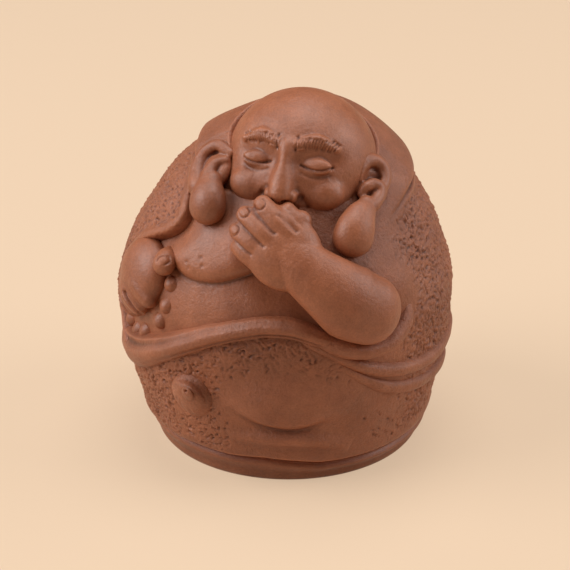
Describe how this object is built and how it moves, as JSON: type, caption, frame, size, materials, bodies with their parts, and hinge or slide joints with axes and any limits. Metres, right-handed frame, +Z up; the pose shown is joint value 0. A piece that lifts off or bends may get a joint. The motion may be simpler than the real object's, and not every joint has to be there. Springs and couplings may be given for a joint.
{
  "type": "laughing buddha figurine",
  "caption": "Egg-shaped seated laughing buddha figurine in unglazed red-brown stoneware, one hand held to its mouth, for standing on a tea tray or shelf.",
  "frame": {"origin": "centre of the flat foot, on the surface that the figurine stands on", "axes": "+Z up, the figure faces -Y, +X is the figure's own left, which is the viewer's right"},
  "size_m": [0.0696, 0.0696, 0.0765],
  "materials": {
    "skin_clay": "smooth burnished unglazed stoneware",
    "robe_clay": "rough stippled unglazed stoneware",
    "foot_clay": "plain unglazed stoneware"
  },
  "bodies": {
    "root": {"bag_knot": "robe_clay", "bare_torso": "skin_clay", "base_slab": "foot_clay", "bead_1": "skin_clay", "bead_2": "skin_clay", "bead_3": "skin_clay", "bead_4": "skin_clay", "bead_5": "skin_clay", "bead_6": "skin_clay", "bead_7": "skin_clay", "core_left": "skin_clay", "core_right": "skin_clay", "foot_band": "foot_clay", "head": "skin_clay", "hood": "robe_clay", "left_ear": "skin_clay", "left_ear_lobe": "skin_clay", "left_eyebrow": "skin_clay", "left_eyelid": "skin_clay", "left_forearm": "skin_clay", "left_index_finger": "skin_clay", "left_little_finger": "skin_clay", "left_middle_finger": "skin_clay", "left_palm": "skin_clay", "left_ring_finger": "skin_clay", "left_thumb": "skin_clay", "lips": "skin_clay", "lower_fold": "robe_clay", "nose": "skin_clay", "right_ear": "skin_clay", "right_ear_lobe": "skin_clay", "right_eyebrow": "skin_clay", "right_eyelid": "skin_clay", "right_index_finger": "skin_clay", "right_little_finger": "skin_clay", "right_middle_finger": "skin_clay", "right_palm": "skin_clay", "right_ring_finger": "skin_clay", "right_thumb": "skin_clay", "robe_back": "robe_clay", "robe_left_shoulder": "robe_clay", "robe_right_shoulder": "robe_clay", "robe_skirt": "robe_clay", "sash": "robe_clay", "sleeve_cuff": "robe_clay", "upper_fold": "robe_clay"}
  },
  "joints": []
}
